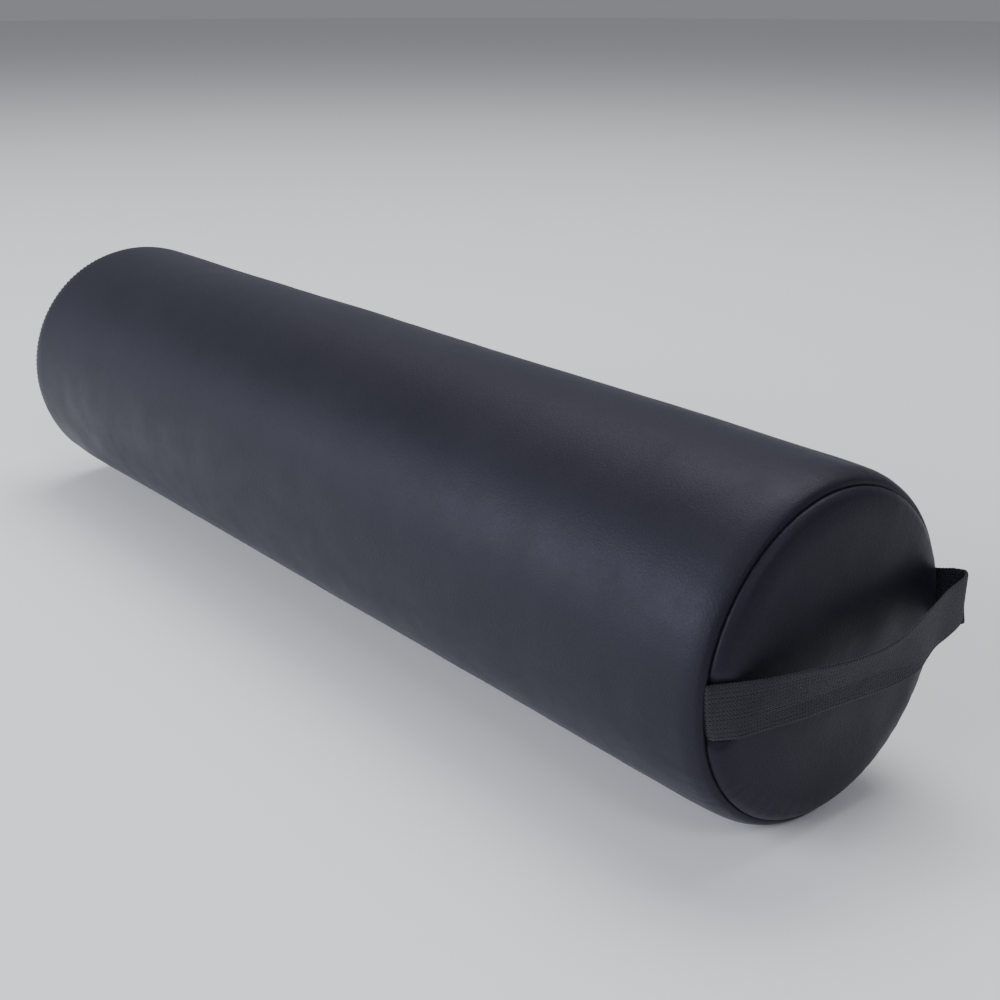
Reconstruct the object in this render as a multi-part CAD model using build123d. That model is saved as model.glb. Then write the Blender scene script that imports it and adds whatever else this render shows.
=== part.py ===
from build123d import *
import os
from math import sin, cos, radians, degrees

# Round bolster pillow: a foam cylinder in a synthetic-leather cover, with a webbing handle
# strap across one end and a coil zipper round the other.
# Millimetres. X runs along the bolster towards the handle end, Z is up, and the origin is the
# middle of the flat that the bolster rests on. Angles about X start at +Y and turn towards +Z.

# --- driving dimensions ---------------------------------------------------------------------
TUBE_R = 82.5             # outer radius of the cover
HALF = 325.0              # mid-length to the plane of each end seam
SAG = 1.5                 # how far the foam settles under its own weight
SKIN = 1.2                # cover thickness
GAP = 0.1                 # clearance between neighbouring sewn layers
SEAM_R = 74.8             # radius of the sewn line at each end
SEAM_BACK = 1.5           # how far the sewn line lies behind the seam plane
FOLD_R = 2.0              # outer radius of a turned edge
ALLOWANCE = 6.0           # width of the turned-in seam allowance
THREAD_R = 0.35           # radius of the sewing thread

SHOULDER = ((22.0, 21.0), (5.0, 45.0))   # radius and turn of the cover's arcs before the seam
SHOULDER_TAPER = 4.0                     # turn of the long first arc, which closes the profile
PANEL_FOLD = 75.0                        # turn of the end panel's folded edge
PANEL_RIM = (7.0, 42.0)                  # radius and turn of the panel's rim
PANEL_CROWN = (35.0, 15.0)               # and of the arc that joins it to the crown
CAP_TURN = 3.0                           # half-angle of the nearly flat crown

SEAM_ANGLE = -40.0        # lengthwise seam, low on the back
SEAM_FIN = 8.0            # depth of the lengthwise seam allowance
SEAM_END = 22.0           # the fins stop this far short of the end seams
FOAM_BEVEL = 64.0         # foam edge: distance past the seam plane plus radius
FOAM_END = 4.2            # foam end face, past the seam plane

WEB_W = 25.4              # handle webbing, 1 inch
WEB_T = 1.6
WEB_TAIL = 5.0            # webbing sewn into the seam
STRAP_TILT = 5.7          # slope of the strap's plane across the end
STRAP_RISE = 5.5          # height of that plane above the axis at the middle
TAIL_TURN = 39.0          # the near end follows the panel's rim through this turn
TAIL_REACH = 38.0         # the free loop starts this far from the middle on the near side
LEG_TURN = 59.0           # the far end bends out of the seam through this turn
LEG_SPLIT = 9.0           # and the free loop starts this far out of the seam plane
LEG_END = 16.4            # the short leg runs out this far before the tight corner
STRAP_CLEAR = 1.2         # gap between the free loop and the front end
LEG_CLEAR = 3.0           # and the rear end, which the loop's leg turns on
NOTCH_REACH = 8.0         # half-length and depth of the notch for a sewn end
CORNER = (3.0, 65.0)      # radius and turn of the tight corner
STRAP_LINE = ((20.8, 56.0), (22.6, 44.0), (26.4, 31.0), (28.7, 17.0), (28.3, 3.0), (25.6, -11.0),
              (21.9, -24.0))

ZIP_START = -20.0         # closed end of the zipper, on the back
ZIP_ARC = 240.0           # it runs over the top to the front
ZIP_HEADING = -45.0       # slope of the chain between barrel and panel
ZIP_SHOULDER = ((24.0, 21.0), (5.0, 20.0))
ZIP_RIM = (7.0, 27.0)
CHAIN_HALF = 3.6          # half of the opening between the turned edges
COIL_IN = 0.45            # inner edge of each coil, from the middle of the chain
COIL_OUT = 2.2
COIL_TOP = 0.4            # the coil stands this proud of the cover
TAPE_T = 0.5
TAPE_UNDER = 4.0          # tape hidden under the cover
STRAP_FREE = ((23.0, 146.0), (194.0, 163.0))   # start and turn of the seam's stretches between them
STITCH_BACK = 1.3         # topstitching, back from the turned edge
COIL_MARGIN = 3.2         # degrees between the zipper's end and its coil
STOP_ARC = 1.2            # degrees covered by a stop

SLIDER_ANGLE = ZIP_START + 6.6
SLIDER_L, SLIDER_HALF_W = 11.0, 3.25
PLATE_UNDER, PLATE_T = 0.6, 1.2
RAIL_IN, RAIL_DEPTH = 2.5, 1.0
BASE_DEPTH, BASE_T = 2.05, 0.9
POST_L, POST_T = 2.0, 0.5
ARCH_GAP, ARCH_LEG, ARCH_W, ARCH_H, ARCH_T = 2.6, 1.1, 1.6, 2.3, 0.8
PIVOT_UP = 2.95           # pull pivot above the cover
PULL_L, PULL_W, PULL_T = 26.0, 6.0, 1.2
PULL_BAR_R, PULL_WINDOW = 0.6, 3.9
PULL_TILT = 9.6           # the pull hangs this far off the line of the chain

AXIS_Z = TUBE_R - SAG
TAPE_TOP = SKIN + GAP / 2
LONG = 2 * HALF + 100     # longer than the bolster, for tools that cut right along it
SEAM_X = HALF - SEAM_BACK
BARREL_SIDE = 135.0       # direction across a seam allowance, from panel to barrel
INWARD = -135.0           # direction of a seam allowance, into the bolster
OUTWARD = 45.0            # and back out of it

os.makedirs("parts", exist_ok=True)


# --- sheet profiles, drawn with X along the bolster and Y as the radius ------------------------
def along(heading):
    return (cos(radians(heading)), sin(radians(heading)))


def right_of(heading):
    return along(heading - 90)


def shift(point, direction, distance):
    return (point[0] + direction[0] * distance, point[1] + direction[1] * distance)


def line(length):
    return ("line", length)


def arc(radius, turn):
    return ("arc", radius, turn)


def follow(start, heading, moves):
    """Chain straight runs and clockwise arcs from a start. The outside is on the left."""
    pieces = []
    point = start
    for move in moves:
        if move[0] == "line":
            pieces.append(("line", point, heading, move[1]))
            point = shift(point, along(heading), move[1])
        else:
            radius, turn = move[1:]
            centre = shift(point, right_of(heading), radius)
            pieces.append(("arc", centre, heading, radius, turn))
            heading -= turn
            point = shift(centre, right_of(heading), -radius)
    return pieces


def offset_piece(piece, depth):
    """The points that draw a piece, moved to its inside by depth."""
    if piece[0] == "line":
        start = shift(piece[1], right_of(piece[2]), depth)
        return [start, shift(start, along(piece[2]), piece[3])]
    centre, heading, radius, turn = piece[1:]
    return [shift(centre, right_of(heading - turn * k), depth - radius) for k in (0, 0.5, 1)]


def path_edges(pieces, depth=0.0):
    points = [offset_piece(piece, depth) for piece in pieces]
    return [Line(*p) if len(p) == 2 else ThreePointArc(*p) for p in points]


def first_point(pieces, depth=0.0):
    return offset_piece(pieces[0], depth)[0]


def last_point(pieces, depth=0.0):
    return offset_piece(pieces[-1], depth)[-1]


def band(pieces, depth0, depth1):
    """Face between two offsets of a path."""
    caps = [Line(first_point(pieces, depth0), first_point(pieces, depth1)),
            Line(last_point(pieces, depth0), last_point(pieces, depth1))]
    return make_face(path_edges(pieces, depth0) + path_edges(pieces, depth1) + caps)


def spin(face, start=0.0, angle=360.0):
    """Turn a profile about the bolster's axis, from a start angle."""
    return Pos(0, 0, AXIS_Z) * Rot(start, 0, 0) * revolve(face, Axis.X, revolution_arc=angle)


def zip_end(face):
    return mirror(face, about=Plane.YZ)


def spin_zip(face, margin=0.0):
    return spin(zip_end(face), ZIP_START + margin, ZIP_ARC - 2 * margin)


def spin_sewn(face, margin=0.0):
    return spin(zip_end(face), ZIP_START + ZIP_ARC + margin, 360 - ZIP_ARC - 2 * margin)


def barrel_profile(edge, arcs, ending):
    """Cover from mid-length to edge, which its last arc reaches, and on through the ending.

    The long first arc takes the radius that makes the profile start on the barrel.
    """
    drop = advance = 0.0
    heading = SHOULDER_TAPER
    for radius, turn in arcs:
        drop += radius * (cos(radians(heading)) - cos(radians(heading + turn)))
        advance += radius * (sin(radians(heading + turn)) - sin(radians(heading)))
        heading += turn
    taper_r = (TUBE_R - edge[1] - drop) / (1 - cos(radians(SHOULDER_TAPER)))
    straight = edge[0] - advance - taper_r * sin(radians(SHOULDER_TAPER))
    moves = [line(straight), arc(taper_r, SHOULDER_TAPER)] + [arc(*a) for a in arcs]
    return follow((0.0, TUBE_R), 0.0, moves + ending)


def needle_point(side):
    """Where the turned edge meets the sewn line, on the barrel (1) or the panel (-1)."""
    return shift((SEAM_X, SEAM_R), along(BARREL_SIDE), side * GAP / 2)


def barrel_sewn():
    """Barrel profile to a sewn end: shoulder, turned edge and seam allowance."""
    turned = sum(a[1] for a in SHOULDER) + SHOULDER_TAPER
    centre = shift(needle_point(1), along(BARREL_SIDE), FOLD_R)
    crest = shift(centre, right_of(-turned), -FOLD_R)
    return barrel_profile(crest, SHOULDER, [arc(FOLD_R, -INWARD - turned), line(ALLOWANCE)])


def crown(pieces):
    """Finish a panel profile with the nearly flat crown that meets the axis squarely."""
    rim = last_point(pieces)
    cap = arc(rim[1] / sin(radians(CAP_TURN)), CAP_TURN)
    return pieces + follow(rim, CAP_TURN - 90, [cap])


def panel_sewn():
    """End panel profile from its seam allowance to the axis."""
    tip = shift(needle_point(-1), along(INWARD), ALLOWANCE)
    moves = [line(ALLOWANCE), arc(FOLD_R, PANEL_FOLD), arc(*PANEL_RIM), arc(*PANEL_CROWN)]
    return crown(follow(tip, OUTWARD, moves))


def zip_edges():
    """Middle of the chain, then the barrel's and the panel's edges beside it."""
    crown_edge = offset_piece(panel_sewn()[3], 0)[0]
    centre = shift(crown_edge, right_of(ZIP_HEADING - ZIP_RIM[1]), ZIP_RIM[0])
    panel_edge = shift(centre, right_of(ZIP_HEADING), -ZIP_RIM[0])
    middle = shift(panel_edge, along(ZIP_HEADING), -CHAIN_HALF)
    return middle, shift(middle, along(ZIP_HEADING), -CHAIN_HALF), panel_edge


def barrel_zipped():
    return barrel_profile(zip_edges()[1], ZIP_SHOULDER, [])


def panel_zipped():
    return crown(follow(zip_edges()[2], ZIP_HEADING, [arc(*ZIP_RIM), arc(*PANEL_CROWN)]))


# --- cover and filling ---------------------------------------------------------------------------
def slab(z_low, z_high):
    return Pos(0, 0, (z_low + z_high) / 2) * Box(LONG, 4 * TUBE_R, z_high - z_low)


def radial_plate(thickness, r_in, r_out, length):
    """A thin plate standing along the lengthwise seam."""
    plate = Pos(0, (r_in + r_out) / 2, 0) * Box(length, r_out - r_in, thickness)
    return Pos(0, 0, AXIS_Z) * Rot(SEAM_ANGLE, 0, 0) * plate


def barrel_outline():
    """Half-profile of the barrel's outside, closed down to the axis at its crest."""
    outside = barrel_sewn()[:4]
    x, r = last_point(outside)
    return make_face(path_edges(outside) + [Polyline((x, r), (x, 0), (0, 0), (0, TUBE_R))])


def cover_barrel():
    """The cover's barrel, sewn into a tube along its length and settled flat underneath."""
    sewn = band(barrel_sewn(), 0, SKIN)
    barrel = spin(sewn) + spin_sewn(sewn) + spin_zip(band(barrel_zipped(), 0, SKIN))
    solid_barrel = spin(barrel_outline()) + spin(zip_end(barrel_outline()))
    barrel = (barrel & slab(0, 3 * TUBE_R)) + (solid_barrel & slab(0, SKIN))
    fin_root = TUBE_R - SKIN / 2
    length = 2 * (HALF - SEAM_END)
    barrel += radial_plate(2 * SKIN + GAP, fin_root - SEAM_FIN, fin_root, length)
    barrel -= radial_plate(GAP, fin_root - SEAM_FIN - 1, TUBE_R + 1, length)
    return barrel - strap_room()


def handle_end_panel():
    return spin(band(panel_sewn(), 0, SKIN))


def zip_end_panel():
    """A round crown with two kinds of rim: turned in at the seam, and open along the zipper."""
    middle = spin(zip_end(band(panel_sewn()[3:], 0, SKIN)))
    return middle + spin_sewn(band(panel_sewn()[:3], 0, SKIN)) + spin_zip(band(panel_zipped()[:1], 0, SKIN))


def foam_half():
    """Foam from mid-length to one end: follows the sewn cover's taper, then a bevel at the end."""
    profile = barrel_sewn()
    inside = SKIN + GAP
    moves = [line(profile[0][3]), arc(profile[1][3] - inside, SHOULDER_TAPER)]
    taper = follow(first_point(profile, inside), 0.0, moves)
    x, r = last_point(taper)
    lined = make_face(path_edges(taper) + [Polyline((x, r), (x, 0), (0, 0), (0, TUBE_R - inside))])
    end = HALF + FOAM_END
    chamfer = [(HALF + FOAM_BEVEL - TUBE_R, TUBE_R), (end, FOAM_BEVEL - FOAM_END)]
    bevel = [(0, 0), (0, TUBE_R)] + chamfer + [(end, 0)]
    block_end = make_face(Polyline((x, 0), (x, r), (end, r), (end, 0), close=True))
    return spin(lined + block_end) & spin(make_face(Polyline(*bevel, close=True)))


def foam_core():
    """Foam cylinder with bevelled ends, settled flat underneath and slotted for the seam."""
    core = foam_half()
    core += mirror(core, about=Plane.YZ)
    core = core & slab(SKIN + GAP, 3 * TUBE_R)
    slot_w = 2 * (SKIN + 2 * THREAD_R + 3 * GAP)
    return core - radial_plate(slot_w, TUBE_R - SEAM_FIN - 3, TUBE_R, 2 * (HALF - SEAM_END) + 2)


# --- sewing thread: needle and bobbin thread, one each side of the two layers -----------------------
def thread_sections():
    middle = shift((SEAM_X, SEAM_R), along(INWARD), ALLOWANCE / 2)
    lift = GAP + SKIN + THREAD_R
    return [Pos(*shift(middle, along(BARREL_SIDE), side * lift)) * Circle(THREAD_R) for side in (1, -1)]


def handle_end_seam_thread():
    """Each ring in two arcs, over and under the handle strap's sewn ends."""
    return [spin(section, *span) for section in thread_sections() for span in STRAP_FREE]


def zip_end_seam_thread():
    return [spin_sewn(section, 3.0) for section in thread_sections()]


def lengthwise_seam_thread():
    lift = GAP / 2 + SKIN + THREAD_R
    strand = Rot(0, 90, 0) * Cylinder(THREAD_R, 2 * (HALF - SEAM_END) - 4)
    place = Pos(0, 0, AXIS_Z) * Rot(SEAM_ANGLE, 0, 0)
    return [place * Pos(0, TUBE_R - SEAM_FIN / 2, side * lift) * strand for side in (1, -1)]


# --- handle strap, drawn in its own slightly tilted plane across the end ------------------------------
STRAP_PLANE = Pos(0, 0, AXIS_Z + STRAP_RISE) * Rot(STRAP_TILT, 0, 0)
WEB_LIFT = FOLD_R + GAP + WEB_T / 2


def webbing(face, room=0.0):
    return STRAP_PLANE * extrude(face, WEB_W / 2 + room, dir=(0, 0, 1), both=True)


def seam_radius(side):
    """Radius of the sewn line in the strap's plane, at the front (1) or the rear (-1)."""
    return SEAM_R + side * STRAP_RISE * sin(radians(STRAP_TILT))


def strap_end(side, turns, last_run):
    """Centre line of a sewn end: out of the seam, over the panel's edge, then straight."""
    needle = shift((SEAM_X, seam_radius(side)), along(BARREL_SIDE), GAP / 2 + WEB_T / 2)
    start = shift(needle, along(INWARD), WEB_TAIL)
    return follow(start, OUTWARD, [line(WEB_TAIL)] + [arc(*t) for t in turns] + [line(last_run)])


def front_end():
    turns = [(WEB_LIFT, PANEL_FOLD), (PANEL_RIM[0] + WEB_LIFT - FOLD_R, TAIL_TURN)]
    r = last_point(strap_end(1, turns, 0.0))[1]
    heading = OUTWARD - sum(t[1] for t in turns)
    return strap_end(1, turns, (r - TAIL_REACH) / -sin(radians(heading)))


def rear_end(reach=LEG_SPLIT - LEG_CLEAR):
    turns = [(WEB_LIFT, LEG_TURN)]
    x = last_point(strap_end(-1, turns, 0.0))[0]
    return strap_end(-1, turns, (HALF + reach - x) / cos(radians(OUTWARD - LEG_TURN)))


def strap_tail_front():
    return webbing(mirror(band(front_end(), -WEB_T / 2, WEB_T / 2), about=Plane.XZ))


def strap_tail_rear():
    return webbing(band(rear_end(), -WEB_T / 2, WEB_T / 2))


def strap_room():
    """Space for the two sewn ends, cut through the barrel's turned edge."""
    faces = []
    for side in (1, -1):
        face_line = shift((SEAM_X, seam_radius(side)), along(BARREL_SIDE), WEB_T + 2 * GAP)
        ends = [shift(face_line, along(d), NOTCH_REACH) for d in (OUTWARD, INWARD)]
        far_side = [shift(p, along(BARREL_SIDE), -NOTCH_REACH) for p in reversed(ends)]
        faces.append(make_face(Polyline(*ends, *far_side, close=True)))
    return webbing(mirror(faces[0], about=Plane.XZ), GAP) + webbing(faces[1], GAP)


def handle_strap():
    """The free loop: a short leg out of the seam, a tight corner, then across the end."""
    leg_heading = OUTWARD - LEG_TURN
    start = last_point(rear_end(LEG_SPLIT))
    leg = (LEG_END - LEG_SPLIT) / cos(radians(leg_heading))
    knee = follow(start, leg_heading, [line(leg), arc(*CORNER)])
    x, r = last_point(front_end())
    far_heading = OUTWARD - PANEL_FOLD - TAIL_TURN
    away = along(far_heading)
    landing = (x, -r + STRAP_CLEAR)
    points = [last_point(knee)] + [(HALF + px, py) for px, py in STRAP_LINE] + [landing]
    bend = Spline(*points, tangents=[along(leg_heading - CORNER[1]), (-away[0], away[1])])
    path = Wire(path_edges(knee) + [bend])
    section = Plane(origin=path @ 0, x_dir=(0, 0, 1), z_dir=path % 0) * Rectangle(WEB_W, WEB_T)
    return STRAP_PLANE * sweep(section, path)


# --- zipper round the far end ------------------------------------------------------------------------
def tape_barrel_side():
    centre, heading, radius, turn = barrel_zipped()[2][1:]
    under = degrees(TAPE_UNDER / radius)
    heading += under - turn
    start = shift(centre, right_of(heading), -radius)
    path = follow(start, heading, [arc(radius, under), arc(*ZIP_SHOULDER[1]), line(CHAIN_HALF - COIL_IN)])
    return spin_zip(band(path, TAPE_TOP, TAPE_TOP + TAPE_T), GAP)


def tape_panel_side():
    reach = CHAIN_HALF - COIL_IN
    start = shift(zip_edges()[2], along(ZIP_HEADING), -reach)
    under = degrees(TAPE_UNDER / PANEL_CROWN[0])
    path = follow(start, ZIP_HEADING, [line(reach), arc(*ZIP_RIM), arc(PANEL_CROWN[0], under)])
    return spin_zip(band(path, TAPE_TOP, TAPE_TOP + TAPE_T), GAP)


def chain_section(width, height, sideways, up):
    """A rounded section on the chain's line, sideways towards the panel and up off the tape."""
    place = Plane(origin=Vector(*zip_edges()[0], 0), x_dir=Vector(*along(ZIP_HEADING), 0), z_dir=(0, 0, 1))
    return place * Pos(sideways, up) * RectangleRounded(width, height, min(width, height) * 0.35)


def coil(side):
    height = COIL_TOP + SKIN
    middle = side * (COIL_IN + COIL_OUT) / 2
    section = chain_section(COIL_OUT - COIL_IN, height, middle, COIL_TOP - height / 2)
    return spin_zip(section, COIL_MARGIN)


def stop(start, sideways, width):
    height = COIL_TOP + SKIN + 0.2
    section = chain_section(width, height, sideways, COIL_TOP + 0.2 - height / 2)
    return spin(zip_end(section), start, STOP_ARC)


def zip_top_stops():
    """One stop on each tape, at the closed end."""
    middle = (COIL_IN + COIL_OUT) / 2
    return [stop(ZIP_START + 0.6, side * middle, COIL_OUT - COIL_IN + 0.2) for side in (1, -1)]


def zip_bottom_stop():
    return stop(ZIP_START + ZIP_ARC - 0.6 - STOP_ARC, 0.0, 2 * COIL_OUT + 0.2)


def topstitch(piece, back):
    """Thread along a turned edge, back from its end by an arc length."""
    centre, heading, radius, turn = piece[1:]
    point = shift(centre, right_of(back(heading, turn, degrees(STITCH_BACK / radius))), -radius - THREAD_R)
    return spin_zip(Pos(*point) * Circle(THREAD_R), 1.0)


def topstitch_barrel_side():
    return topstitch(barrel_zipped()[3], lambda heading, turn, step: heading - turn + step)


def topstitch_panel_side():
    return topstitch(panel_zipped()[0], lambda heading, turn, step: heading - step)


def chain_frame():
    """Frame of the slider: X towards the open end, Z out of the cover, at the chain's middle."""
    x, r = zip_edges()[0]
    a = radians(SLIDER_ANGLE)
    origin = Vector(-x, r * cos(a), AXIS_Z + r * sin(a))
    outward = Vector(-cos(radians(45)), sin(radians(45)) * cos(a), sin(radians(45)) * sin(a))
    return Plane(origin=origin, x_dir=Vector(0, -sin(a), cos(a)), z_dir=outward)


def block(length, width, z_low, z_high, x=0.0, y=0.0):
    return Pos(x, y, (z_low + z_high) / 2) * Box(length, width, z_high - z_low)


def zip_slider():
    """Two plates joined by a post, side rails over the chain, and the arch that holds the pull."""
    top = PLATE_UNDER + PLATE_T
    body = block(SLIDER_L, 2 * SLIDER_HALF_W, PLATE_UNDER, top)
    body = fillet(body.edges().filter_by(Axis.Z), 2.2)
    body = fillet(body.edges().group_by(Axis.Z)[-1], 0.4)
    rail_w = SLIDER_HALF_W - RAIL_IN
    for side in (1, -1):
        body += block(SLIDER_L - 4.6, rail_w, -RAIL_DEPTH, PLATE_UNDER, y=side * (RAIL_IN + rail_w / 2))
    base = block(SLIDER_L, 2 * SLIDER_HALF_W, -BASE_DEPTH - BASE_T, -BASE_DEPTH)
    body += fillet(base.edges().filter_by(Axis.Z), 2.2)
    body += block(POST_L, POST_T, -BASE_DEPTH, PLATE_UNDER, x=POST_L / 2 - SLIDER_L / 2 + 0.8)
    arch_l = ARCH_GAP + 2 * ARCH_LEG
    arch = block(arch_l, ARCH_W, top, top + ARCH_H + ARCH_T)
    arch = fillet(arch.edges().group_by(Axis.Z)[-1].filter_by(Axis.Y), 1.4)
    arch -= block(ARCH_GAP, ARCH_W + 2, top, top + ARCH_H)
    return chain_frame() * (body + arch)


def zip_pull():
    """Pull tab: a cross bar under the arch, a window round it, and a tongue with a finger hole."""
    tongue = block(PULL_L - 0.7, PULL_W, -PULL_T / 2, PULL_T / 2, x=-(PULL_L - 0.7) / 2 + 0.7)
    tongue = fillet(tongue.edges().filter_by(Axis.Z), 1.6)
    window = ARCH_W + 0.8
    tongue -= block(PULL_WINDOW + 3.0, window, -PULL_T, PULL_T, x=-PULL_WINDOW + (PULL_WINDOW + 3.0) / 2)
    tongue -= Pos(-PULL_L + 5.0, 0, 0) * Cylinder(1.7, 4 * PULL_T)
    bar = Rot(90, 0, 0) * Cylinder(PULL_BAR_R, window + 1.0)
    return chain_frame() * Pos(0, 0, PIVOT_UP) * Rot(0, PULL_TILT, 0) * (tongue + bar)


NODES = {
    "foam_core": foam_core,
    "cover_barrel": cover_barrel,
    "handle_end_panel": handle_end_panel,
    "zip_end_panel": zip_end_panel,
    "lengthwise_seam_thread": lengthwise_seam_thread,
    "handle_end_seam_thread": handle_end_seam_thread,
    "zip_end_seam_thread": zip_end_seam_thread,
    "handle_strap": handle_strap,
    "strap_tail_front": strap_tail_front,
    "strap_tail_rear": strap_tail_rear,
    "zip_tape_barrel_side": tape_barrel_side,
    "zip_tape_panel_side": tape_panel_side,
    "zip_coil_barrel_side": lambda: coil(-1),
    "zip_coil_panel_side": lambda: coil(1),
    "zip_topstitch_barrel_side": topstitch_barrel_side,
    "zip_topstitch_panel_side": topstitch_panel_side,
    "zip_top_stops": zip_top_stops,
    "zip_bottom_stop": zip_bottom_stop,
    "zip_slider": zip_slider,
    "zip_pull": zip_pull,
}


def main():
    for name, make in NODES.items():
        made = make()
        if isinstance(made, list):
            made = Compound(children=[Compound(part.solids()) for part in made])
        export_step(made, "parts/" + name + ".step")


main()
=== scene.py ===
"""Looks of the bolster pillow: crowned synthetic-leather cover, webbing handle strap and coil zipper.

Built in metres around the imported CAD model. X runs along the bolster towards the handle end, Z is up,
and angles about the bolster's axis start at +Y and turn towards +Z.
"""

import math
import random

import bmesh
import bpy
import numpy as np
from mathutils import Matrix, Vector


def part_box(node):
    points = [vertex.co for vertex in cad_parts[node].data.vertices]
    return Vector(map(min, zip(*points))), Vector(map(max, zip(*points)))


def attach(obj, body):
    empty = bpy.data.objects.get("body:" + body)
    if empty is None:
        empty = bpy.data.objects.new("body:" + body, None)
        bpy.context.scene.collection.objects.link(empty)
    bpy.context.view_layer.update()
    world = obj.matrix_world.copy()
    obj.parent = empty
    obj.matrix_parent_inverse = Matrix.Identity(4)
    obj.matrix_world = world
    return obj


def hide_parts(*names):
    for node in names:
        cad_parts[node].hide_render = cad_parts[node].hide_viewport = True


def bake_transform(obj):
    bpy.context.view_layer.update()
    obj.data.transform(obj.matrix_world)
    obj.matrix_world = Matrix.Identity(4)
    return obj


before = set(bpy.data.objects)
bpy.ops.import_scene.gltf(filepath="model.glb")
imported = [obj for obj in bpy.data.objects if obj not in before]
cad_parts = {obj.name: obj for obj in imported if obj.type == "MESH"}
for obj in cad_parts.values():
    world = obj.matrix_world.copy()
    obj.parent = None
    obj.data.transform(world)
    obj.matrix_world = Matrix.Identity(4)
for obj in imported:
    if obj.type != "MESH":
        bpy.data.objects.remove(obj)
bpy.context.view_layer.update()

MM = 0.001

# --- sizes, in millimetres ------------------------------------------------------------------
BARREL_LOW, BARREL_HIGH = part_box("cover_barrel")
TUBE_R = (BARREL_HIGH.y - BARREL_LOW.y) / 2 / MM
AXIS_Z = BARREL_HIGH.z / MM - TUBE_R
HALF = 325.0              # mid-length to the plane of each end seam
SKIN = 1.2                # cover thickness
FOLD_R = 2.0              # turned edge at a sewn seam
HEM_R = 1.25              # turned edge beside the zipper
ALLOWANCE = 6.0           # width of what is turned in at an edge
LAYER_GAP = 0.05          # from the sewn line to the layer on either side
SEAM_X, SEAM_R = 323.5, 74.8      # the sewn line at each end

# radius and turn in degrees of the arcs that round the cover's ends, from the edges inwards
SHOULDER = ((5.0, 45.0), (22.0, 21.0))
ZIP_SHOULDER = ((5.0, 20.0), (24.0, 21.0))
PANEL_RIM = (7.0, -42.0)
ZIP_RIM = (7.0, -27.0)
PANEL_CROWN = (35.0, -15.0)

SEAM_ANGLE = -40.0        # lengthwise seam, low on the back
ZIP_START, ZIP_END = -20.0, 220.0     # the zipper, from the back over the top to the front
CHAIN_X, CHAIN_R = 324.854, 76.516    # middle of its chain
CHAIN_HALF = 3.6          # half of the opening between the turned edges
COIL_PITCH = 1.4
COIL_WIRE_R = 0.22
COIL_MARGIN = 3.4         # degrees between the zipper's end and its coil
STITCH_PITCH = 3.2
STITCH_BACK = 1.3         # topstitching, back from the turned edge
STITCH_MARGIN = 2.0       # degrees between the zipper's end and its topstitching
THREAD_R = 0.24

WEB_W, WEB_T = 25.4, 1.6  # handle webbing
# centre line of the strap: out from the seam plane, across, lean of its upper edge in degrees, and lift
STRAP_LINE = (
    (-5.6, -70.8, 0, 0), (-2.0, -74.3, 0, 0), (-0.9, -74.8, 0, 0), (0.4, -74.3, -2, 0),
    (1.6, -72.8, -4, 0), (4.5, -68.6, -4, 0), (7.6, -64.0, -4, 0), (11.9, -54.0, 4, 0),
    (15.4, -44.0, 8, 0), (18.6, -34.0, 12, 0), (21.7, -24.0, 17, 0), (24.6, -14.0, 19, 0),
    (26.9, -4.0, 18, 0), (28.4, 6.0, 13, 0), (28.7, 16.0, 6, 0), (27.5, 26.0, 2, 0), (24.9, 36.0, 3, 0),
    (22.3, 46.0, 4, 0), (20.9, 56.0, 2, 0.2), (20.1, 64.0, 3, 0.6), (19.2, 68.6, 4, 0.9),
    (17.7, 71.1, 3, 0.7), (15.2, 72.0, 1, 0.1), (10.1, 73.3, 0, -1.6), (3.8, 74.8, 0, -3.2),
    (0.6, 75.6, 0, -3.5), (-2.1, 74.9, 0, -3.5), (-5.6, 71.3, 0, -3.5),
)
STRAP_RISE, STRAP_SLOPE = 5.5, 0.0998     # its plane: height above the axis, and slope
STRAP_ANGLE = 181.5       # where the front end leaves the seam
STRAP_DENT = (2.6, 1.6)   # how far its pull moves the panel's edge back and in


def smoothstep(t):
    """0 to 1 with a soft start and end."""
    t = np.clip(t, 0.0, 1.0)
    return t * t * (3 - 2 * t)


# --- camera, lights and floor -----------------------------------------------------------------
def make_camera():
    """The photo's viewpoint: above and to the front of the handle end."""
    data = bpy.data.cameras.new("camera")
    data.lens = 52.03
    data.sensor_width = 36.0
    camera = bpy.data.objects.new("camera", data)
    camera.location = (0.6650, -0.4606, 0.3603)
    forward = Vector((-0.7233, 0.5946, -0.3511))
    camera.rotation_euler = forward.to_track_quat("-Z", "Y").to_euler()
    bpy.context.scene.collection.objects.link(camera)
    bpy.context.scene.camera = camera


def area_light(name, place, target, size, power, colour=(1, 1, 1)):
    data = bpy.data.lights.new(name, "AREA")
    data.shape = "RECTANGLE"
    data.size, data.size_y = size
    data.energy = power
    data.color = colour
    light = bpy.data.objects.new(name, data)
    light.location = place
    light.rotation_euler = (Vector(target) - Vector(place)).to_track_quat("-Z", "Y").to_euler()
    bpy.context.scene.collection.objects.link(light)


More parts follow.
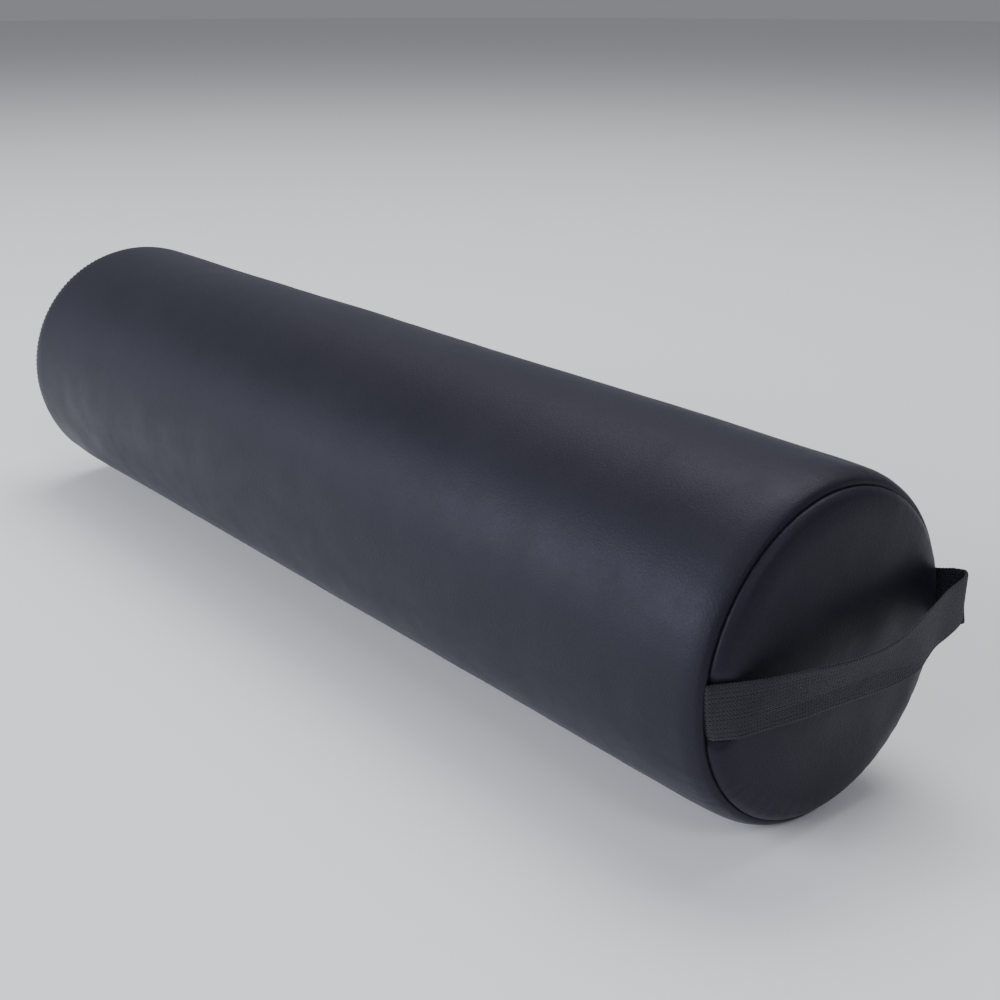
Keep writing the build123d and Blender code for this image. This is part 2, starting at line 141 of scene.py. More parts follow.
def make_studio():
    """Soft light from the front and above on a pale floor, and a small light for the end panel's rim."""
    world = bpy.data.worlds.new("studio")
    world.use_nodes = True
    background = world.node_tree.nodes["Background"]
    background.inputs["Color"].default_value = (0.90, 0.93, 1.0, 1)
    background.inputs["Strength"].default_value = 0.26
    bpy.context.scene.world = world
    area_light("key", (-0.9, -2.4, 1.1), (-0.1, 0, 0.08), (3.0, 1.4), 105, (0.88, 0.92, 1.0))
    area_light("top", (-0.5, 0.8, 2.6), (-0.1, 0, 0.0), (2.4, 1.8), 62)
    area_light("rim", (1.6, -0.45, 1.3), (0.33, 0, 0.1), (0.5, 0.5), 7.5, (0.88, 0.92, 1.0))
    bpy.ops.mesh.primitive_circle_add(vertices=96, radius=9.0, fill_type="NGON", location=(0, 0, -0.0006))
    floor = bpy.context.object
    floor.name = "floor"
    mat = new_material("floor_paint", (0.86, 0.86, 0.86), 0.6)
    floor.data.materials.append(mat)


# --- materials ----------------------------------------------------------------------------------
def new_material(name, colour, roughness):
    mat = bpy.data.materials.new(name)
    mat.use_nodes = True
    shader = mat.node_tree.nodes["Principled BSDF"]
    shader.inputs["Base Color"].default_value = (*colour, 1)
    shader.inputs["Roughness"].default_value = roughness
    return mat


class Graph:
    """Short names for building a material's nodes."""

    def __init__(self, name, roughness=0.5, **constants):
        self.mat = new_material(name, (0.5, 0.5, 0.5), roughness)
        self.tree = self.mat.node_tree
        self.shader = self.tree.nodes["Principled BSDF"]
        for socket, value in constants.items():
            self.shader.inputs[socket.replace("_", " ")].default_value = value
        self.place = self.node("ShaderNodeNewGeometry").outputs["Position"]

    def node(self, kind, **settings):
        made = self.tree.nodes.new(kind)
        for key, value in settings.items():
            setattr(made, key, value)
        return made

    def link(self, source, target):
        self.tree.links.new(source, target)

    def noise(self, scale, detail=3.0, rough=0.5, vector=None):
        made = self.node("ShaderNodeTexNoise")
        made.inputs["Scale"].default_value = scale
        made.inputs["Detail"].default_value = detail
        made.inputs["Roughness"].default_value = rough
        self.link(vector or self.place, made.inputs["Vector"])
        return made.outputs["Fac"]

    def cells(self, scale, feature="F1"):
        made = self.node("ShaderNodeTexVoronoi", feature=feature)
        made.inputs["Scale"].default_value = scale
        self.link(self.place, made.inputs["Vector"])
        return made.outputs["Distance"]

    def ramp(self, fac, stops):
        made = self.node("ShaderNodeValToRGB")
        elements = made.color_ramp.elements
        while len(elements) < len(stops):
            elements.new(0.5)
        for element, (position, colour) in zip(elements, stops):
            element.position = position
            element.color = (*colour, 1)
        self.link(fac, made.inputs["Fac"])
        return made.outputs["Color"]

    def math(self, operation, a, b):
        made = self.node("ShaderNodeMath", operation=operation)
        for socket, value in zip(made.inputs, (a, b)):
            if isinstance(value, (int, float)):
                socket.default_value = value
            else:
                self.link(value, socket)
        return made.outputs["Value"]

    def span(self, fac, low, high, to_low=0.0, to_high=1.0):
        made = self.node("ShaderNodeMapRange")
        self.link(fac, made.inputs["Value"])
        for socket, value in zip(("From Min", "From Max", "To Min", "To Max"), (low, high, to_low, to_high)):
            made.inputs[socket].default_value = value
        return made.outputs["Result"]

    def mix(self, fac, a, b):
        """Colour mix. The node's colour sockets are inputs 6 and 7 and output 2."""
        made = self.node("ShaderNodeMix", data_type="RGBA")
        for socket, value in zip((made.inputs[0], made.inputs[6], made.inputs[7]), (fac, a, b)):
            if isinstance(value, (int, float)):
                socket.default_value = value
            elif isinstance(value, tuple):
                socket.default_value = (*value, 1)
            else:
                self.link(value, socket)
        return made.outputs[2]

    def stretched(self, scale):
        made = self.node("ShaderNodeMapping")
        made.inputs["Scale"].default_value = scale
        self.link(self.place, made.inputs["Vector"])
        return made.outputs["Vector"]

    def colour(self, source):
        self.link(source, self.shader.inputs["Base Color"])

    def roughness(self, source):
        self.link(source, self.shader.inputs["Roughness"])

    def bump(self, *layers):
        """Stack height layers given as (source, distance in mm)."""
        normal = None
        for height, distance in layers:
            made = self.node("ShaderNodeBump")
            made.inputs["Distance"].default_value = distance * MM
            self.link(height, made.inputs["Height"])
            if normal is not None:
                self.link(normal, made.inputs["Normal"])
            normal = made.outputs["Normal"]
        self.link(normal, self.shader.inputs["Normal"])


def leather_material():
    g = Graph("synthetic_leather", 0.45, Specular_IOR_Level=0.20, IOR=1.48, Sheen_Weight=0.05,
              Sheen_Roughness=0.4)
    g.shader.inputs["Sheen Tint"].default_value = (0.75, 0.78, 1.0, 1)
    g.shader.inputs["Specular Tint"].default_value = (0.82, 0.80, 1.0, 1)
    cloud = g.noise(11.0, 2.0)
    patches = g.noise(46.0, 4.0, 0.6)
    grain_noise = g.noise(900.0, 3.0, 0.6)
    grain = g.cells(820.0)
    creases = g.cells(560.0, "DISTANCE_TO_EDGE")
    base = g.ramp(cloud, [(0.30, (0.0112, 0.0110, 0.0165)), (0.70, (0.0148, 0.0145, 0.0215))])
    base = g.mix(g.span(patches, 0.35, 0.7, 0.0, 0.35), base, (0.0135, 0.0130, 0.0175))
    # painted shade: the grain's sunken creases are darkened as if shade falls in them
    base = g.mix(g.span(creases, 0.0, 0.12, 0.22, 0.0), base, (0.005, 0.0052, 0.007))
    g.colour(base)
    rough = g.math("ADD", g.span(patches, 0.3, 0.7, 0.43, 0.53), g.span(grain_noise, 0.3, 0.7, -0.03, 0.04))
    g.roughness(rough)
    g.bump((g.span(cloud, 0.3, 0.7), 0.5), (g.noise(120.0, 3.0), 0.05), (grain_noise, 0.03),
           (g.span(creases, 0.0, 0.25), 0.035), (grain, 0.02))
    return g.mat


def webbing_material():
    """Herringbone in the strap's own coordinates: millimetres along and across it."""
    g = Graph("webbing", 0.78, Specular_IOR_Level=0.25, Sheen_Weight=0.12, Sheen_Roughness=0.5)
    g.shader.inputs["Sheen Tint"].default_value = (0.80, 0.78, 0.90, 1)
    uv = g.node("ShaderNodeUVMap", uv_map="web").outputs["UV"]
    parts = g.node("ShaderNodeSeparateXYZ")
    g.link(uv, parts.inputs["Vector"])
    rib = g.math("PINGPONG", parts.outputs["Y"], 0.98)
    pick = g.math("PINGPONG", g.math("ADD", parts.outputs["X"], rib), 0.7)
    yarn = g.span(pick, 0.0, 0.7)
    valley = g.span(rib, 0.0, 0.3)
    # painted shade: dark dots where the gaps between picks meet the valleys between ribs
    weave_hole_shade = g.math("MULTIPLY", g.span(pick, 0.2, 0.4, 1.0, 0.0), g.span(rib, 0.15, 0.45, 1.0, 0.0))
    fibre = g.noise(2600.0, 2.0)
    tint = g.noise(60.0, 3.0)
    base = g.ramp(tint, [(0.3, (0.0150, 0.0145, 0.0195)), (0.7, (0.0235, 0.0225, 0.0300))])
    # painted shade: the gaps between picks, the valleys between ribs and the dots where both meet are
    # darkened as shade in the weave's hollows
    base = g.mix(g.span(yarn, 0.0, 0.6, 0.45, 0.0), base, (0.0055, 0.0053, 0.0070))
    base = g.mix(g.span(valley, 0.0, 1.0, 0.40, 0.0), base, (0.0050, 0.0048, 0.0064))
    base = g.mix(weave_hole_shade, base, (0.0015, 0.0015, 0.0022))
    g.colour(base)
    g.roughness(g.span(fibre, 0.3, 0.7, 0.70, 0.88))
    g.bump((yarn, 0.28), (valley, 0.22), (fibre, 0.06))
    return g.mat


def woven_material(name, colour, pitch):
    """Plain narrow weave for tape, from position."""
    g = Graph(name, 0.85, Sheen_Weight=0.25, Sheen_Roughness=0.5)
    weave = g.cells(1000.0 / pitch)
    fibre = g.noise(2400.0, 2.0)
    # painted shade: the weave's sunken cell edges are darkened
    weave_gap_shade = tuple(c * 0.45 for c in colour)
    g.colour(g.mix(g.span(weave, 0.0, 0.9, 0.0, 0.8), colour, weave_gap_shade))
    g.roughness(g.span(fibre, 0.3, 0.7, 0.75, 0.92))
    g.bump((weave, -0.15), (fibre, 0.05))
    return g.mat


def thread_material():
    g = Graph("thread", 0.6, Sheen_Weight=0.2)
    twist = g.noise(1500.0, 2.0, vector=g.stretched((1, 1, 3)))
    g.colour(g.ramp(twist, [(0.35, (0.010, 0.010, 0.013)), (0.65, (0.032, 0.032, 0.040))]))
    g.roughness(g.span(twist, 0.3, 0.7, 0.5, 0.7))
    g.bump((twist, 0.08))
    return g.mat


def coil_material():
    g = Graph("coil_nylon", 0.35, Specular_IOR_Level=0.5)
    tint = g.noise(500.0, 2.0)
    g.colour(g.ramp(tint, [(0.3, (0.010, 0.010, 0.012)), (0.7, (0.022, 0.022, 0.026))]))
    g.roughness(g.span(tint, 0.3, 0.7, 0.28, 0.42))
    g.bump((tint, 0.02))
    return g.mat


def metal_material():
    g = Graph("zip_enamel", 0.3, Metallic=0.0, Coat_Weight=0.6, Coat_Roughness=0.12)
    wear = g.noise(260.0, 4.0, 0.65)
    edge = g.node("ShaderNodeNewGeometry").outputs["Pointiness"]
    worn = g.math("MULTIPLY", g.span(edge, 0.52, 0.60), g.span(wear, 0.45, 0.62))
    base = g.ramp(wear, [(0.3, (0.012, 0.012, 0.014)), (0.7, (0.024, 0.024, 0.027))])
    g.colour(g.mix(g.math("MULTIPLY", worn, 0.5), base, (0.20, 0.195, 0.185)))
    g.roughness(g.span(wear, 0.3, 0.7, 0.24, 0.40))
    g.bump((g.noise(900.0, 2.0), 0.015))
    return g.mat


def foam_material():
    g = Graph("foam", 0.95, Subsurface_Weight=0.1)
    pores = g.cells(900.0)
    tint = g.noise(18.0, 3.0)
    base = g.ramp(tint, [(0.3, (0.70, 0.66, 0.54)), (0.7, (0.80, 0.77, 0.68))])
    # painted shade: the sunken pores are darkened
    g.colour(g.mix(g.span(pores, 0.0, 0.35, 0.35, 0.0), base, (0.45, 0.41, 0.32)))
    g.roughness(g.span(pores, 0.0, 0.5, 0.98, 0.88))
    g.bump((pores, 0.4))
    return g.mat


# --- profiles: points as (x, radius, heading), in millimetres ---------------------------------------
def along(heading):
    """Unit step in (x, radius) at a heading in degrees."""
    return np.array((math.cos(math.radians(heading)), math.sin(math.radians(heading))))


def walk(start, heading, moves):
    """Sample straight runs (length, 0, steps) and arcs (radius, turn, steps). Positive turns go left."""
    point = np.array(start, float)
    points = [(*point, heading)]
    for size, turn, steps in moves:
        for _ in range(steps):
            if turn:
                chord = 2 * size * math.sin(math.radians(abs(turn) / steps / 2))
                point = point + along(heading + turn / steps / 2) * chord
                heading += turn / steps
            else:
                point = point + along(heading) * size / steps
            points.append((*point, heading))
    return points


def hemmed(start, heading, flap, moves):
    """Walk the moves from a start, after a hidden flap that arrives there."""
    turn = sum(move[1] for move in flap)
    hidden = np.array(walk((0.0, 0.0), heading - turn, flap))
    hidden[:, :2] += np.array(start) - hidden[-1, :2]
    return [tuple(row) for row in hidden] + walk(start, heading, moves)[1:]


def barrel_half(start, heading, flap, hem, shoulder, half_steps=46):
    """From the hidden flap, round the hem and the shoulder, to mid-length."""
    points = hemmed(start, heading, flap, [(*hem, 12), (*shoulder[0], 8), (*shoulder[1], 8)])
    x, r, heading = points[-1]
    drop = TUBE_R - r
    taper_r = drop / (1 - math.cos(math.radians(180 - heading)))
    points += walk((x, r), heading, [(taper_r, 180 - heading, 10)])[1:]
    x = points[-1][0]
    points += walk(points[-1][:2], 180.0, [(x, 0, half_steps)])[1:]
    return np.array(points)


def sewn_half():
    """At a sewn end: the allowance comes out of the seam and folds back over."""
    needle = np.array((SEAM_X, SEAM_R)) + along(135) * LAYER_GAP
    return barrel_half(needle, 45.0, [(ALLOWANCE, 0, 3)], (FOLD_R, 65.0), SHOULDER)


def zipped_half():
    """Beside the zipper: the edge turns back under itself, and the flap follows the shoulder's curve."""
    start = np.array((CHAIN_X, CHAIN_R)) + along(135) * CHAIN_HALF - along(45) * 2 * HEM_R
    (tight_r, tight_turn), (wide_r, _) = ZIP_SHOULDER
    flap = [(wide_r - 2 * HEM_R, -13.6, 2), (tight_r - 2 * HEM_R, -tight_turn, 1)]
    return barrel_half(start, -45.0, flap, (HEM_R, 180.0), ZIP_SHOULDER)


def panel_profile(start, heading, flap, hem, rim):
    """From the hidden flap, round the hem and the rim, to the pole of the crown."""
    points = hemmed(start, heading, flap, [(*hem, 12), (*rim, 12), (*PANEL_CROWN, 8)])
    x, r, heading = points[-1]
    turn = 90 + heading
    points += walk((x, r), heading, [(r / math.sin(math.radians(turn)), -turn, 22)])[1:]
    points[-1] = (points[-1][0], 0.0, -90.0)
    return np.array(points)


def sewn_panel():
    """The end panel's profile where it is sewn in."""
    needle = np.array((SEAM_X, SEAM_R)) - along(135) * LAYER_GAP
    return panel_profile(needle, 45.0, [(ALLOWANCE, 0, 3)], (FOLD_R, -75.0), PANEL_RIM)


def zipped_panel():
    """The end panel's profile along the zipper, with its edge turned under."""
    start = np.array((CHAIN_X, CHAIN_R)) - along(135) * CHAIN_HALF - along(45) * 2 * HEM_R
    flap = [(PANEL_CROWN[0] - 2 * HEM_R, 6.8, 2), (ZIP_RIM[0] - 2 * HEM_R, -ZIP_RIM[1], 1)]
    return panel_profile(start, 135.0, flap, (HEM_R, -180.0), ZIP_RIM)


# --- surfaces ----------------------------------------------------------------------------------------
class Wobble:
    """A smooth repeatable unevenness over (length in mm, angle in radians)."""

    def __init__(self, seed, waves, along_range, around_range):
        pick = random.Random(seed)
        self.terms = []
        for _ in range(waves):
            length = pick.uniform(*along_range)
            around = pick.randint(*around_range)
            turns = pick.choice((-1, 1)) * around
            self.terms.append((2 * math.pi / length, turns, pick.uniform(0, 2 * math.pi)))
        self.scale = 1 / math.sqrt(waves)

    def __call__(self, x, a):
        return sum(np.cos(k * x + m * a + phase) for k, m, phase in self.terms) * self.scale


def mesh_object(name, vertices, faces, material):
    """A smooth-shaded object from vertices in metres."""
    data = bpy.data.meshes.new(name)
    data.from_pydata([tuple(v) for v in vertices], [], faces)
    data.update()
    data.shade_smooth()
    data.materials.append(material)
    made = bpy.data.objects.new(name, data)
    bpy.context.scene.collection.objects.link(made)
    return made


def grid_faces(rows, columns, wrap_rows, wrap_columns, start=0):
    """Quads over a grid of vertices, which may close on itself either way."""
    faces = []
    for i in range(rows if wrap_rows else rows - 1):
        for j in range(columns if wrap_columns else columns - 1):
            a, b = i * columns + j, i * columns + (j + 1) % columns
            c, d = (i + 1) % rows * columns + (j + 1) % columns, (i + 1) % rows * columns + j
            faces.append((start + a, start + b, start + c, start + d))
    return faces


def place(x, r, a):
    """Points in metres from length, radius (mm) and angle (radians)."""
    return np.stack([x * MM, r * np.cos(a) * MM, (AXIS_Z + r * np.sin(a)) * MM], -1)


def settle(points, flat=0.0):
    """Flatten what is below the floor, with a soft turn-up beside the flat."""
    z = points[..., 2] / MM
    ease = 1.2
    low = z < flat + ease
    z = np.where(low, flat + ease * np.exp((z - flat - ease) / ease), z)
    points[..., 2] = z * MM
    return points


SOFT = Wobble(3, 26, (90, 260), (1, 5))         # long waves of the whole cover
FINE = Wobble(8, 30, (24, 60), (6, 20))         # small unevenness
PUCKER = Wobble(5, 22, (60, 200), (34, 90))     # gathers along the end seams


def cover_push(x, a, near_end):
    """How far the cover stands off its ideal form, in mm. near_end is 1 at a sewn end, fading inwards."""
    calm = 1 - smoothstep(near_end * 1.2)
    ring = near_end * (1 - near_end)
    return (0.16 * SOFT(x, a) + 0.035 * FINE(x, a)) * calm + 0.05 * PUCKER(x, a) * ring * 4 - 0.4 * ring


def seam_dip(a):
    """The lengthwise seam: a narrow groove with two soft lips."""
    across = (np.degrees(a) - SEAM_ANGLE + 180) % 360 - 180
    mm = np.radians(across) * TUBE_R
    groove = -1.5 * np.exp(-(mm / 0.9) ** 2)
    lips = 0.35 * np.exp(-((np.abs(mm) - 3.0) / 2.0) ** 2)
    return groove, lips, mm


def angle_steps():
    """Angles all round, closer together at the lengthwise seam and the zipper's two ends."""
    steps = set(np.round(np.arange(-180, 180, 1.5), 3))
    steps |= set(np.round(SEAM_ANGLE + np.arange(-5, 5.01, 0.3), 3))
    for end in (ZIP_START, ZIP_END - 360):
        steps |= set(np.round(end + np.arange(-2.4, 2.41, 0.6), 3))
    return np.radians(np.array(sorted(steps)))


def zip_share(a):
    """1 along the zipper and 0 along the sewn stretch."""
    degrees = np.degrees(a)
    middle = (ZIP_START + ZIP_END) / 2
    off = np.abs((degrees - middle + 180) % 360 - 180)
    return 1 - smoothstep((off - (ZIP_END - ZIP_START) / 2 + 1.2) / 2.4)


def normals_of(profile, side):
    """Outward normal in (x, radius) for headings, with the outside on that side."""
    turned = np.radians(profile[:, 2] + 90 * side)
    return np.stack([np.cos(turned), np.sin(turned)], -1)


def revolve_shell(profiles, side, push):
    """Outer and inner grids of a cover piece. profiles maps the angle to a profile's points."""
    angles = angle_steps()
    grids = []
    for depth in (0.0, SKIN):
        rows = []
        for a in angles:
            profile = profiles(a)
            normal = normals_of(profile, side)
            stand_off = push(profile, a) - depth
            flat = profile[:, :2] + normal * stand_off[:, None]
            rows.append(place(flat[:, 0], flat[:, 1], a))
        grids.append(np.array(rows))
    return grids


def shell_mesh(name, grids, material, closed_axis):
    """Join outer and inner grids into one closed skin. closed_axis says that the last column is a pole."""
    rows, columns = grids[0].shape[:2]
    outer, inner = grids
    if closed_axis:
        outer, inner = outer[:, :-1], inner[:, :-1]
        columns -= 1
    band = np.concatenate([outer, inner[:, ::-1]], axis=1)
    vertices = list(band.reshape(-1, 3))
    width = 2 * columns
    faces = []
    for i in range(rows):
        k = (i + 1) % rows
        for j in range(width):
            n = (j + 1) % width
            if closed_axis and j == columns - 1:
                continue
            faces.append((i * width + j, k * width + j, k * width + n, i * width + n))
    if closed_axis:
        for grid, column, flip in ((grids[0], columns - 1, False), (grids[1], columns, True)):
            pole = len(vertices)
            vertices.append(grid[:, -1].mean(0))
            for i in range(rows):
                k = (i + 1) % rows
                fan = (i * width + column, k * width + column, pole)
                faces.append(fan[::-1] if flip else fan)
    return mesh_object(name, vertices, faces, material)


def make_barrel(material):
    """The tube of the cover, with its lengthwise seam and its two different ends."""
    sewn, zipped = sewn_half(), zipped_half()

    def profiles(a):
        share = zip_share(a)
        far = sewn * (1 - share) + zipped * share
        far = far[::-1].copy()
        far[:, 0] *= -1
        far[:, 2] = 360 - far[:, 2]
        return np.concatenate([sewn, far[1:]])

    def push(profile, a):
        x, r = profile[:, 0], profile[:, 1]
        to_end = HALF - np.abs(x)
        near_end = np.exp(-np.clip(to_end, 0, None) / 14.0) * (r > 71.5)
        share = zip_share(a)
        near_end = np.where(x < 0, near_end * (1 - 0.7 * share), near_end)
        groove, lips, mm = seam_dip(a)
        stitch = 0.12 * math.exp(-(mm / 4.0) ** 2) * np.cos(2 * math.pi * x / STITCH_PITCH / 2)
        outer = smoothstep((r - 74.0) / 4.0)
        lip = 0.35 * np.exp(-((to_end - 1.2) / 1.3) ** 2) * (1 - share * (x < 0))    # the fold stands up
        return (cover_push(x, a, near_end) + groove + lips + stitch + lip) * outer

    grids = revolve_shell(profiles, -1, push)
    grids = [settle(grids[0]), settle(grids[1], SKIN)]
    return shell_mesh("cover_barrel_skin", grids, material, False)


def make_panel(name, profile_at, end, material):
    """A crowned end panel, on the handle end (1) or the zipper end (-1)."""
    soft = Wobble(21 if end > 0 else 22, 14, (70, 160), (1, 4))

    def push(profile, a):
        r = profile[:, 1]
        rim = np.exp(-((r - 72.0) / 7.0) ** 2)
        share = 0.0 if end > 0 else zip_share(a)
        pucker = PUCKER(30 * end, a) * 0.045 * rim * (1 - 0.6 * share)
        middle = 0.22 * soft(r * 2, a) * smoothstep(r / 20.0) * smoothstep((70 - r) / 20.0)
        hidden = profile[:, 0] < SEAM_X - 1
        return np.where(hidden, 0.0, pucker + middle)

    grids = revolve_shell(profile_at, 1, push)
    if end < 0:
        for grid in grids:
            grid[..., 0] *= -1
    return shell_mesh(name, grids, material, True)


def make_covers(material):
    """The three sewn pieces of the cover, all tight over the foam."""
    barrel = make_barrel(material)
    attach(barrel, "bolster")
    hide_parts("cover_barrel")
    sewn, zipped = sewn_panel(), zipped_panel()

    def far_panel(a):
        share = zip_share(a)
        return sewn * (1 - share) + zipped * share

    def near_panel(a):
        """The strap pulls the panel's edge in where it leaves the seam."""
        off = abs((math.degrees(a) - STRAP_ANGLE + 180) % 360 - 180)
        pull = smoothstep((sewn[:, 1] - 63.5) / 8.5) * smoothstep((14.0 - off) / 4.0)
        moved = sewn.copy()
        moved[:, 0] -= STRAP_DENT[0] * pull
        moved[:, 1] -= STRAP_DENT[1] * pull
        return moved

    near = make_panel("handle_panel_skin", near_panel, 1, material)
    far = make_panel("zip_panel_skin", far_panel, -1, material)
    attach(near, "bolster")
    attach(far, "bolster")
    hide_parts("handle_end_panel")
    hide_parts("zip_end_panel")
    for piece in (barrel, near, far):
        outward(piece)


def outward(piece):
    """Make the faces of a closed mesh point outwards."""
    work = bmesh.new()
    work.from_mesh(piece.data)
    bmesh.ops.recalc_face_normals(work, faces=work.faces)
    work.to_mesh(piece.data)
    work.free()


# --- foam core -----------------------------------------------------------------------------------------
def make_foam(material):
    """The foam cylinder, a little slack inside the cover, settled on the bottom."""
    low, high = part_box("foam_core")
    reach, radius = high.x / MM - 0.6, (high.y - low.y) / 2 / MM - 0.6
    outline = [(reach, 0.0), (reach, 48.0), (reach - 1, 57.0), (reach - 12.0, 70.0), (reach - 24.0, 76.0),
               (reach - 60.0, radius - 2.0), (reach - 110.0, radius)]
    bumps = Wobble(31, 18, (12, 60), (4, 30))
    right = np.array(outline + [(x, radius) for x in np.linspace(reach - 130, 0, 14)])
    profile = np.concatenate([right, right[-2::-1] * np.array((-1, 1))])
    angles = np.radians(np.arange(0, 360, 3))
    rows = []
    for a in angles:
        r = profile[:, 1] - 0.25 * (1 + bumps(profile[:, 0], a)) * (profile[:, 1] > 1)
        rows.append(place(profile[:, 0], r, a))
    grid = settle(np.array(rows), 1.9)
    grid[:, 0] = grid[:, 0].mean(0)
    grid[:, -1] = grid[:, -1].mean(0)
    inner = grid[:, 1:-1]
    vertices = list(inner.reshape(-1, 3)) + [grid[0, 0], grid[0, -1]]
    rows, columns = inner.shape[:2]
    faces = grid_faces(rows, columns, True, False)
    for i in range(rows):
        k = (i + 1) % rows
        faces.append((i * columns, k * columns, len(vertices) - 2))
        faces.append((k * columns + columns - 1, i * columns + columns - 1, len(vertices) - 1))
    foam = mesh_object("foam_filling", vertices, faces, material)
    outward(foam)
    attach(foam, "bolster")
    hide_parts("foam_core")


# --- handle strap --------------------------------------------------------------------------------------
def spline(points, step):
    """Centripetal Catmull-Rom through rows of numbers, sampled about every step of its first two columns."""
    p = np.array(points, float)
    p = np.concatenate([[2 * p[0] - p[1]], p, [2 * p[-1] - p[-2]]])
    knots = np.concatenate([[0], np.cumsum(np.sqrt(np.linalg.norm(np.diff(p[:, :2], axis=0), axis=1)))])
    out = []
    for i in range(1, len(p) - 2):
        t0, t1, t2, t3 = knots[i - 1:i + 3]
        count = max(1, int(round(np.linalg.norm(p[i + 1, :2] - p[i, :2]) / step)))
        for t in np.linspace(t1, t2, count, endpoint=False):
            a1 = p[i - 1] + (p[i] - p[i - 1]) * (t - t0) / (t1 - t0)
            a2 = p[i] + (p[i + 1] - p[i]) * (t - t1) / (t2 - t1)
            a3 = p[i + 1] + (p[i + 2] - p[i + 1]) * (t - t2) / (t3 - t2)
            b1 = a1 + (a2 - a1) * (t - t0) / (t2 - t0)
            b2 = a2 + (a3 - a2) * (t - t1) / (t3 - t1)
            out.append(b1 + (b2 - b1) * (t - t1) / (t2 - t1))
    out.append(p[-2])
    return np.array(out)


def strap_section(count=56):
    """Points round the webbing's section: (across from -1 to 1, side 1 outer or -1 inner)."""
    across = np.linspace(-1, 1, count)
    return [(v, 1) for v in across] + [(v, -1) for v in across[::-1]]


def strap_frame():
    """Centre line of the strap, then the directions across its width and out of its face."""
    line = spline(STRAP_LINE, 0.5)
    height = AXIS_Z + STRAP_RISE + STRAP_SLOPE * line[:, 1] + line[:, 3]
    centre = np.stack([HALF + line[:, 0], line[:, 1], height], -1)
    lean = np.radians(line[:, 2])
    tangent = np.gradient(centre, axis=0)
    tangent /= np.linalg.norm(tangent, axis=1)[:, None]
    up = np.array((0, -STRAP_SLOPE, 1)) / math.hypot(1, STRAP_SLOPE)
    out = np.cross(tangent, up)
    out /= np.linalg.norm(out, axis=1)[:, None]
    rise = np.cross(out, tangent)
    rise *= np.sign(np.sum(rise * up, 1))[:, None]
    wide = np.cos(lean)[:, None] * rise + np.sin(lean)[:, None] * out
    face = np.cross(tangent, wide)
    face /= np.linalg.norm(face, axis=1)[:, None]
    return centre, wide, face


def make_strap(material):
    """One length of webbing, from inside the front seam to inside the rear seam."""
    centre, wide, face = strap_frame()
    run = np.concatenate([[0], np.cumsum(np.linalg.norm(np.diff(centre, axis=0), axis=1))])
    total = run[-1]
    # loose away from the ends, sewn at the ends, and a crease that climbs and then runs out
    loose = smoothstep((run - 22) / 30) * smoothstep((total - 34 - run) / 30)
    sewn = 1 - smoothstep((np.minimum(run, total - run) - 8) / 14)
    crease = np.clip(-0.60 + 0.0058 * run, -0.6, -0.1) - 0.8 * smoothstep((run - 80) / 50)
    section = strap_section()
    vertices, uvs = [], []
    for i in range(len(centre)):
        for v, side in section:
            edge = math.sqrt(max(0.0, 1 - abs(v) ** 24))
            picot = 0.2 * max(0.0, math.sin(run[i] * math.pi)) if abs(v) > 0.97 else 0.0
            reach = v * (WEB_W / 2 + picot)
            curl = (2.6 * max(0.0, crease[i] - v) + max(0.0, v - 0.7)) * loose[i]
            rib = 0.03 * math.cos(v * 16 * math.pi)
            thick = side * ((WEB_T / 2 - 0.12) * edge + rib * edge)
            point = centre[i] + wide[i] * reach + face[i] * (thick + curl)
            # the sewn ends bend with the round seam
            point[1] -= np.sign(point[1]) * sewn[i] * (point[2] - AXIS_Z) ** 2 / 2 / SEAM_R
            vertices.append(point * MM)
            uvs.append((run[i], (v + 1) * WEB_W / 2 + (0 if side > 0 else 40)))
    columns = len(section)
    rows = len(centre)
    faces = grid_faces(rows, columns, False, True)
    faces.append(tuple(range(columns)))
    faces.append(tuple(range((rows - 1) * columns, rows * columns))[::-1])
    strap = mesh_object("handle_strap_webbing", vertices, faces, material)
    layer = strap.data.uv_layers.new(name="web")
    for loop in strap.data.loops:
        layer.data[loop.index].uv = uvs[loop.vertex_index]
    outward(strap)
    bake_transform(strap)
    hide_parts("handle_strap", "strap_tail_front", "strap_tail_rear")


# --- zipper ----------------------------------------------------------------------------------------------
def chain_point(a, sideways, up):
    """A point beside the chain's middle, in metres: sideways towards the panel, up off the cover."""
    x = CHAIN_X + (sideways + up) * math.sqrt(0.5)
    r = CHAIN_R + (up - sideways) * math.sqrt(0.5)
    return place(-x, r, a)


def tubes(name, paths, radius, sides, material):
    """Closed round strands along lists of points."""
    vertices, faces = [], []
    ring = [(math.cos(t), math.sin(t)) for t in np.linspace(0, 2 * math.pi, sides, endpoint=False)]
    for path in paths:
        path = np.array(path)
        tangent = np.gradient(path, axis=0)
        tangent /= np.linalg.norm(tangent, axis=1)[:, None]
        start = len(vertices)
        normal = np.cross(tangent[0], (0.31, 0.17, 0.93))
        for i, (p, t) in enumerate(zip(path, tangent)):
            normal = normal - t * np.dot(normal, t)
            normal /= np.linalg.norm(normal)
            side = np.cross(t, normal)
            taper = 0.55 if i in (0, len(path) - 1) else 1.0
            vertices += [p + (normal * c + side * s) * radius * taper * MM for c, s in ring]
        faces += grid_faces(len(path), sides, False, True, start)
        faces.append(tuple(range(start, start + sides))[::-1])
        faces.append(tuple(range(start + (len(path) - 1) * sides, start + len(path) * sides)))
    made = mesh_object(name, vertices, faces, material)
    outward(made)
    return made


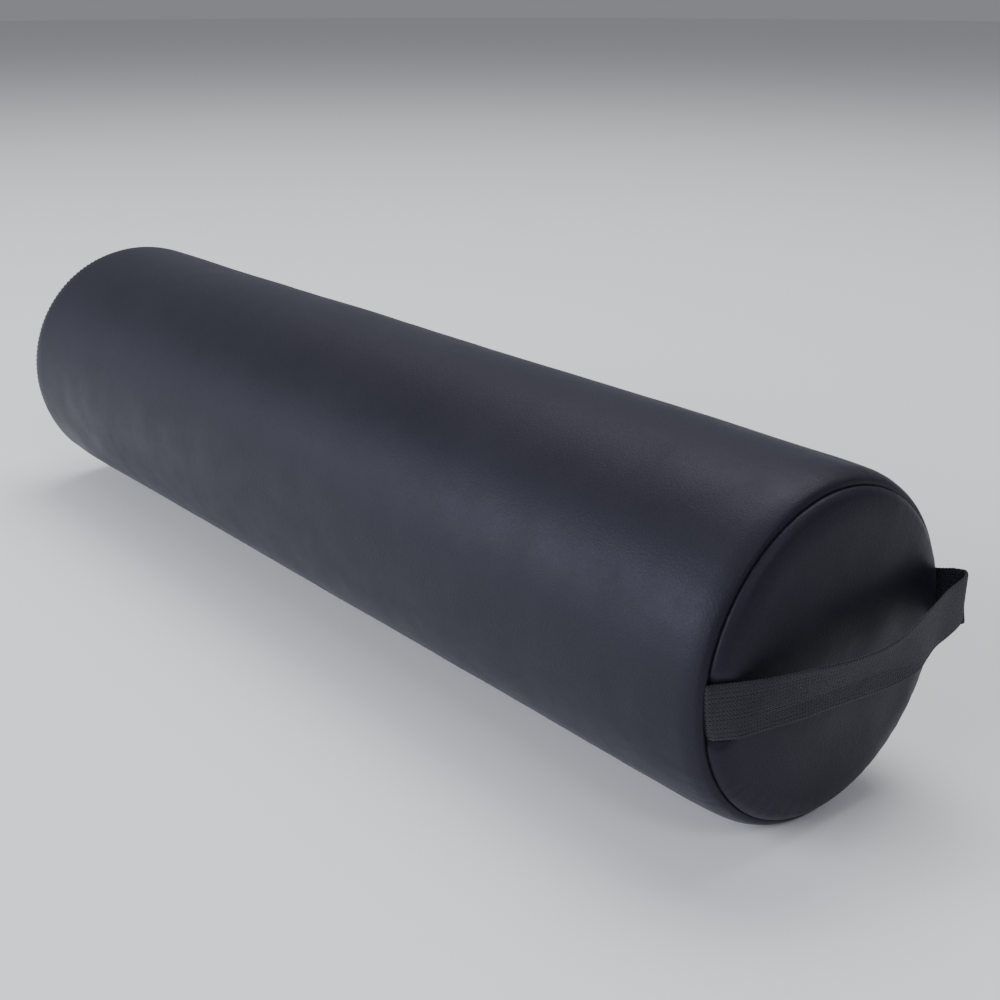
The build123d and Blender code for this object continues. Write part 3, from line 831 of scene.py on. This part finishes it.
def make_coil(side, material):
    """One row of moulded coil turns on its tape."""
    first, last = math.radians(ZIP_START + COIL_MARGIN), math.radians(ZIP_END - COIL_MARGIN)
    turns = int((last - first) * CHAIN_R / COIL_PITCH)
    per_turn = 9
    points = []
    phase = 0.0 if side > 0 else math.pi
    for k in range(turns * per_turn + 1):
        turn = 2 * math.pi * k / per_turn
        a = first + (last - first) * k / (turns * per_turn)
        swing = math.cos(turn + phase)
        sideways = side * (0.95 - 1.0 * swing)
        up = -0.30 + 0.52 * math.sin(turn + phase)
        points.append(chain_point(a, sideways, up))
    name = "zip_coil_turns_panel" if side > 0 else "zip_coil_turns_barrel"
    coil = tubes(name, [points], COIL_WIRE_R, 6, material)
    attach(coil, "bolster")
    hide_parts("zip_coil_panel_side" if side > 0 else "zip_coil_barrel_side")


def make_stitches(side, material):
    """Topstitching beside the zipper: short threads that dip into the cover at each needle hole."""
    radius = ZIP_RIM[0] if side > 0 else ZIP_SHOULDER[0][0]
    bend = STITCH_BACK / radius
    sideways = side * (CHAIN_HALF + radius * math.sin(bend))
    drop = radius * (1 - math.cos(bend))
    span = math.radians(ZIP_END - ZIP_START - 2 * STITCH_MARGIN)
    count = int(span * (CHAIN_R - sideways * 0.7) / STITCH_PITCH)
    first = math.radians(ZIP_START + STITCH_MARGIN)
    step = span / count
    paths = []
    for k in range(count):
        a0, a1 = first + (k + 0.08) * step, first + (k + 0.92) * step
        path = []
        for t in np.linspace(0, 1, 7):
            rise = 0.42 * math.sin(math.pi * t) ** 0.6 - 0.22
            path.append(chain_point(a0 + (a1 - a0) * t, sideways, rise - drop))
        paths.append(path)
    name = "zip_topstitches_panel" if side > 0 else "zip_topstitches_barrel"
    row = tubes(name, paths, THREAD_R, 6, material)
    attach(row, "bolster")
    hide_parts("zip_topstitch_panel_side" if side > 0 else "zip_topstitch_barrel_side")


def make_zipper(coil, thread):
    for side in (1, -1):
        make_coil(side, coil)
        make_stitches(side, thread)


def paint_nodes(tape, thread, metal):
    """Carried-over CAD pieces get their own materials."""
    finishes = {
        "zip_tape_barrel_side": tape, "zip_tape_panel_side": tape,
        "lengthwise_seam_thread": thread, "handle_end_seam_thread": thread, "zip_end_seam_thread": thread,
        "zip_top_stops": metal, "zip_bottom_stop": metal, "zip_slider": metal, "zip_pull": metal,
    }
    for name, material in finishes.items():
        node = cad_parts[name]
        node.data.materials.clear()
        node.data.materials.append(material)


make_camera()
make_studio()
leather = leather_material()
thread = thread_material()
make_covers(leather)
make_foam(foam_material())
make_strap(webbing_material())
make_zipper(coil_material(), thread)
paint_nodes(woven_material("zip_tape", (0.022, 0.022, 0.027), 0.55), thread, metal_material())
